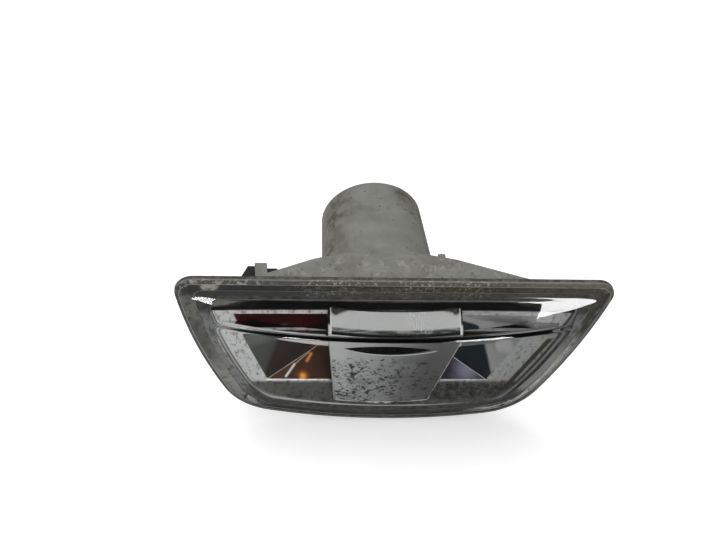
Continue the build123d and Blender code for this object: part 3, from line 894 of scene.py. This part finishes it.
def funnel_walls(coat, left):
    """Painted reflections on the funnel's side walls, and the share of the wings above them.

    The left wall's painted reflection is brown with a grey strip near the bezel and a maroon wing. The
    right wall is grey with a painted pale reflection, a painted bluish shade and a darker wing.
    """
    x, y, z = coat.axes
    right = coat.step(x, 0, 6)
    below = coat.step(z, -1.5, -2.5)
    near = coat.math("SUBTRACT", y, coat.math("ADD", coat.scaled(z, strip_lean), strip_y))
    wing = coat.both(left, coat.step(z, -8, -4))
    right_wing = coat.both(right, coat.step(z, -1, 1))
    tint = coat.mix(left, grey(0.66), reflection_brown)
    tint = coat.paint(tint, reflection_maroon, wing)
    tint = coat.paint(tint, grey(0.38), right_wing)
    strip = coat.both(left, coat.step(near, 0.45, -0.45), coat.step(z, -1.2, -2.2))
    tint = coat.paint(tint, reflection_strip_grey, strip)
    patch = coat.both(coat.band(near, -3.0, -2.5, -1.4, -1.0), coat.step(z, -9, -6), right, below)
    tint = coat.paint(tint, grey(0.92), patch)
    shade = coat.both(coat.step(near, -0.3, 0.1), coat.step(coat.math("ADD", x, z), 23.5, 22.0))
    tint = coat.paint(tint, shade_blue, coat.both(shade, coat.step(x, 6, 12), below))
    return tint, coat.any(wing, right_wing)


def mirror_plastic():
    """Vacuum-metallised reflector: satin bezel, bright funnel with painted reflections, raw black plastic
    behind.

    The funnel's floor is painted with reflections, brown at the left and bluish at the right, with painted
    amber glints of the bulb, painted highlights on its edges and a painted white streak. Where the coat is
    dull it is no mirror.
    """
    coat = Finish("metallised_reflector")
    x, y, z = coat.axes
    up = coat.step(coat.facing["Z"], 0.3, 0.5)
    left = coat.step(x, 0, -6)
    outer_top = coat.both(up, coat.step(z, 3, 5), coat.step(y, 0.25, 0.5))
    coated = coat.both(coat.step(coat.facing["Y"], -0.03, -0.1), coat.less(outer_top))
    bezel = coat.step(y, 0.3, 0.15)
    satin, seam = bezel_coat(coat, bezel)
    wall_reflection, wings = funnel_walls(coat, left)
    # Painted reflection: a pale spot in the floor's middle at the right
    glow = coat.spot(floor_light, 3.2, 0.9)
    floor_reflection = coat.paint(coat.mix(left, reflection_violet, reflection_floor_brown), painted_floor_reflection, glow, 0.7)
    tint = coat.mix(up, wall_reflection, floor_reflection)
    # Painted reflections of the amber bulb on the funnel's floor
    high_glint = coat.stroke(amber_high, amber_high_end, 0.5, 0.9)
    band_glint = coat.scaled(coat.stroke(amber_band, amber_band_end, 0.8, 0.9), 0.5)
    glint = coat.any(coat.spot(amber_low, 1.3, 0.8), high_glint, band_glint)
    core = coat.any(coat.spot(amber_low, 0.6, 0.9), coat.stroke(amber_high, amber_high_end, 0.18, 0.9))
    # Painted highlights along the floor's edges and a painted white streak
    streak = coat.stroke(streak_start, streak_end, 0.3, 0.9)
    lines = [coat.stroke(start, end, 0.085, 0.5) for start, end in floor_edges]
    lines += [streak, coat.stroke(streak_end, streak_tip, 0.12, 0.9)]
    edge_light = coat.both(coat.any(*lines), coat.step(y, 0.0, 0.3))
    painted = ((amber, glint), (amber_core, core), (painted_floor_edge_highlight, edge_light), (painted_streak_highlight, streak))
    for colour, share in painted:
        tint = coat.paint(tint, colour, share)
    coat.set("Base Color", coat.mix(coated, grey(0.008), coat.mix(bezel, tint, satin)))
    dulled = [
        (bezel, 0.7),
        (glint, 0.85),
        (edge_light, 0.9),
        (coat.both(left, up), 0.3),
        (coat.both(glow, up), 0.6),
        (coat.both(left, coat.less(up)), 0.45),
        (wings, 0.9),
    ]
    dull = coat.any(seam, *[coat.scaled(share, amount) for share, amount in dulled])
    coat.set("Metallic", coat.both(coated, coat.less(dull)))
    coat.set("Roughness", coat.math("ADD", coat.scaled(bezel, 0.3), 0.07))
    return coat.material


def painted_edge_highlights(coat, under, bar_top):
    """Share of the painted highlights along the trim's edges: its sides, its foot and the slit's lower lip.

    A side's margin is the keystone's half width at that height less the distance from its middle. The lip
    rises from the slit's lowest point by the bow times that distance squared.
    """
    x, _, z = coat.axes
    lean = (trim_top_half - trim_foot_half) / (trim_crease_z - trim_foot_z)
    half = coat.math("ADD", coat.scaled(z, lean), trim_foot_half - lean * trim_foot_z)
    half = coat.math("MINIMUM", half, trim_top_half)
    across = coat.math("ABSOLUTE", coat.math("SUBTRACT", x, flange_x))
    margin = coat.math("SUBTRACT", half, across)
    upper_side = coat.both(coat.step(margin, 2 * highlight_width, 1.4 * highlight_width), coat.step(under, 0.6, 0.4))
    side = coat.any(coat.step(margin, highlight_width, 0.6 * highlight_width), upper_side)
    side = coat.both(side, coat.step(margin, -0.4, -0.2), coat.less(bar_top))
    foot = coat.both(coat.step(z, trim_foot_z + highlight_width, trim_foot_z + 0.6 * highlight_width), under)
    bow = coat.scaled(coat.both(across, across), slit_bow)
    under_slit = coat.math("SUBTRACT", bow, coat.math("SUBTRACT", z, slit_low_z))
    lip = coat.band(under_slit, -0.08, 0.0, 0.3, 0.45)
    lip = coat.both(lip, coat.step(across, slit_half, slit_half - 1), under)
    return coat.any(side, foot, lip)


def trim_plastic():
    """Metallised centre trim: satin below its crease, painted highlights on its edges, raw black inside.

    Dark specks crowd towards its foot, and its lower face is painted darker towards the right as shade.
    Above the crease it is bright, with scuffs and a painted shade band along the crease.
    """
    coat = Finish("metallised_trim")
    x, _, z = coat.axes
    bar_top = coat.both(coat.step(coat.facing["Z"], 0.95, 0.99), coat.step(z, 2.9, 3.2))
    outside = coat.any(coat.step(coat.facing["Y"], -0.08, -0.22), bar_top)
    under = coat.step(coat.facing["Z"], 0.5, 0.2)
    low = coat.step(z, 3, -9)
    left = coat.step(x, 14, -14)
    crowd = coat.math("SUBTRACT", 0.63, coat.scaled(low, 0.085))
    crowd = coat.math("SUBTRACT", crowd, coat.both(low, coat.scaled(left, 0.02)))
    fine = coat.math("SUBTRACT", coat.noise(1.1, detail=8, roughness=0.75), crowd)
    coarse = coat.math("SUBTRACT", coat.noise(2.3, detail=8, roughness=0.7, shift=4), crowd)
    specks = coat.any(coat.step(fine, -0.01, 0.04), coat.step(coarse, 0.0, 0.04))
    specks = coat.both(specks, under)
    clouds = coat.both(coat.patches(6, 0.45, 0.7, detail=5, shift=8), under, low)
    scratches = coat.patches(0.5, 0.55, 0.68, stretch=(2.5, 0.4, 0.4))
    scuffs = coat.both(coat.spot(scuffed_place, 3.2, 0.7), scratches)
    # Painted shade: the lower face is darker towards the right
    satin = coat.mix(left, grey(0.2), grey(0.85))
    satin = coat.paint(satin, grey(0.16), clouds, 0.5)
    # Painted shade: a dark band along the crease, darkest just above it
    streaks = coat.patches(1.5, 0.4, 0.62, detail=5, stretch=(0.35, 2, 2), shift=6)
    crease_shade = coat.mix(streaks, grey(0.05), grey(0.3))
    crease_shade = coat.paint(crease_shade, grey(0.015), coat.step(z, trim_crease_z + 0.55, trim_crease_z + 0.3))
    crease_shade_band = coat.band(z, trim_bar_high, trim_crease_z, trim_crease_z + 0.7, trim_crease_z + 1.0)
    top = coat.mix(crease_shade_band, grey(0.57), crease_shade)
    base = coat.paint(coat.mix(under, top, satin), trim_speck, specks)
    # Painted highlights on the sides, the foot and the slit's lower lip
    edge_highlights = painted_edge_highlights(coat, under, bar_top)
    base = coat.paint(base, grey(0.9), edge_highlights)
    base = coat.paint(base, grey(0.92), scuffs, 0.5)
    coat.set("Base Color", coat.mix(outside, grey(0.006), base))
    dull = coat.any(coat.scaled(under, 0.65), coat.scaled(edge_highlights, 0.8))
    coat.set("Metallic", coat.both(outside, coat.less(dull)))
    rough = coat.any(coat.scaled(specks, 0.45), coat.scaled(scuffs, 0.2), coat.scaled(under, 0.12))
    smooth = coat.math("SUBTRACT", 0.15, coat.scaled(bar_top, 0.1))
    coat.set("Roughness", coat.math("ADD", rough, smooth))
    return coat.material


def moulded_black(name, roughness):
    """Black moulded plastic or rubber with a fine grain and a little dust."""
    coat = Finish(name, roughness=roughness)
    base = coat.mix(coat.noise(4), grey(0.004), grey(0.01))
    dust = coat.patches(2.5, 0.6, 0.75, detail=7, shift=9)
    coat.set("Base Color", coat.paint(base, (0.12, 0.11, 0.095), dust, 0.12))
    coat.bump(coat.noise(0.5), 0.2)
    return coat.material


def amber_bulb_glass():
    """Amber glass of the bulb."""
    amber_tint = (1.0, 0.4, 0.03, 1)
    coat = Finish("amber_glass", base_color=amber_tint, roughness=0.03, ior=1.5, transmission_weight=1.0)
    return coat.material


def drawn_metal(name, colour):
    """Bare metal strip or wire with fine streaks."""
    coat = Finish(name, metallic=1.0)
    streak = coat.noise(0.8, stretch=(4, 0.4, 4))
    coat.set("Base Color", coat.mix(streak, tuple(0.8 * c for c in colour), colour))
    coat.set("Roughness", coat.math("ADD", coat.scaled(streak, 0.25), 0.2))
    return coat.material


# Pieces


def dress_nodes():
    """Softened copies of the moulded CAD nodes, and finishes on the small nodes that stay."""
    black = moulded_black("black_moulded_plastic", roughness=0.5)
    brass = drawn_metal("contact_brass", colour=(0.75, 0.58, 0.28))
    steel = drawn_metal("lead_steel", colour=grey(0.6))
    rubber = moulded_black("seal_rubber", roughness=0.8)
    plastic = housing_plastic()
    mirror = mirror_plastic()
    softened_copy("housing", "moulded_housing", "lamp_body", plastic, housing_edge_r)
    softened_copy("reflector", "mirror_reflector", "lamp_body", mirror, thin_edge_r)
    softened_copy(
        "centre_trim",
        "keystone_trim",
        "lamp_body",
        trim_plastic(),
        trim_edge_r,
        steps=trim_edge_steps,
        chosen=keystone_edges,
    )
    softened_copy("retaining_clip", "panel_clip", "lamp_body", black, thin_edge_r)
    softened_copy("bulb_holder", "twist_holder", "bulb_unit", black, thin_edge_r)
    softened_copy("holder_seal", "rubber_seal", "bulb_unit", rubber, seal_edge_r)
    for side in ("left", "right"):
        name = f"brass_contact_{side}"
        softened_copy(f"contact_{side}", name, "bulb_unit", brass, contact_edge_r)
    finishes = {
        "bulb_glass": amber_bulb_glass(),
        "lead_wire_left": steel,
        "lead_wire_right": steel,
        "filament": steel,
    }
    for node, finish in finishes.items():
        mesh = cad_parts[node].data
        mesh.materials.clear()
        mesh.materials.append(finish)


def lens_and_grime():
    """The clear lens in place of its CAD node, and the film of grime behind its flange."""
    points, faces, rim, wall = lens_surface()
    acrylic = clear_plastic()
    lens = add_piece("clear_lens", points, faces, "lamp_body", acrylic, "clear_lens", rim=rim, wall=wall)
    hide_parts("outer_lens")
    points, faces, insets = grime_film()
    add_piece("flange_grime", points, faces, "lamp_body", flange_grime(), "clear_lens", inset=insets)


# Studio


def floor_sheet():
    """Plain pale floor under the lamp's lowest point. Mirrors and the lens show the room in its place."""
    level = cad_box[0][2]
    corners = [(floor_half * x, floor_half * y, level) for x, y in ((-1, -1), (1, -1), (1, 1), (-1, 1))]
    mesh = bpy.data.meshes.new("studio_floor")
    mesh.from_pydata(corners, [], [(0, 1, 2, 3)])
    finish = Finish("studio_paper", base_color=paper_white, roughness=0.9)
    finish.set("Emission Color", full_white)
    finish.set("Emission Strength", paper_glow)
    mesh.materials.append(finish.material)
    floor = add_object("studio_floor", mesh)
    floor.visible_glossy = False
    floor.visible_transmission = False


def soft_box(name, towards, distance, size, radiance, shows):
    """An area light that far along a direction from the lamp, aimed back at it.

    Its power is radiance times pi and area. It lights dull surfaces, shows in shiny ones, or both.
    """
    light = bpy.data.lights.new(name, "AREA")
    light.shape = "RECTANGLE"
    light.size, light.size_y = size
    light.energy = radiance * np.pi * size[0] * size[1]
    lamp = add_object(name, light)
    back = np.array(towards) / np.linalg.norm(towards)
    side = np.cross((0, 0, 1) if abs(back[2]) < steep else (0, 1, 0), back)
    side /= np.linalg.norm(side)
    place = np.eye(4)
    place[:3, :3] = np.stack([side, np.cross(back, side), back], axis=1)
    place[:3, 3] = back * distance
    lamp.matrix_world = Matrix(place.tolist())
    lamp.visible_diffuse = shows != "shiny"
    lamp.visible_glossy = shows != "dull"
    lamp.visible_transmission = shows == "both"


def room():
    """Dim room round the lamp: dark in front, brighter below on the left than on the right."""
    world = bpy.data.worlds.new("dim_room")
    world.use_nodes = True
    tree = world.node_tree
    sky = tree.nodes["Background"]
    sky.inputs["Color"].default_value = full_white
    coordinates = add_node(tree, "ShaderNodeTexCoord")
    parts = add_node(tree, "ShaderNodeSeparateXYZ", {0: coordinates.outputs["Generated"]})

    def blend(value, low, high, first, second):
        inputs = {"Value": value, "From Min": low, "From Max": high, "To Min": first, "To Max": second}
        node = add_node(tree, "ShaderNodeMapRange", inputs, interpolation_type="SMOOTHSTEP")
        return node.outputs[0]

    below = blend(parts.outputs["X"], -0.4, 0.15, room_low_left, room_low_right)
    above = blend(parts.outputs["Y"], -0.7, 0.2, room_front, room_back)
    level = blend(parts.outputs["Z"], -0.35, 0.05, below, above)
    feed(sky.inputs["Strength"], level)
    bpy.context.scene.world = world


def studio_light():
    """Soft boxes overhead and in front, and small panels that only show as reflections."""
    for light in lights:
        soft_box(*light)


def photo_camera():
    """The photograph's camera: its axes from the turn, the raise and the roll, its place from its aim."""
    turn, lift, roll = np.radians([camera_turn, camera_raise, camera_roll])
    right = np.array([np.cos(turn), -np.sin(turn), 0])
    ahead = np.array([np.sin(turn) * np.cos(lift), np.cos(turn) * np.cos(lift), -np.sin(lift)])
    up = np.cross(right, ahead)
    across = right * np.cos(roll) + up * np.sin(roll)
    upright = up * np.cos(roll) - right * np.sin(roll)
    place = np.eye(4)
    place[:3, :3] = np.stack([across, upright, -ahead], axis=1)
    place[:3, 3] = -MM * (camera_aim_x * across + camera_aim_y * upright + camera_distance * ahead)
    camera = bpy.data.cameras.new("photo_camera")
    camera.sensor_width = sensor_width
    camera.lens = camera_focal_px / image_width * sensor_width
    camera.clip_start = camera_near
    eye = add_object("photo_camera", camera)
    eye.matrix_world = Matrix(place.tolist())
    bpy.context.scene.camera = eye


dress_nodes()
lens_and_grime()
floor_sheet()
studio_light()
room()
photo_camera()
bpy.context.scene.view_settings.view_transform = "Standard"
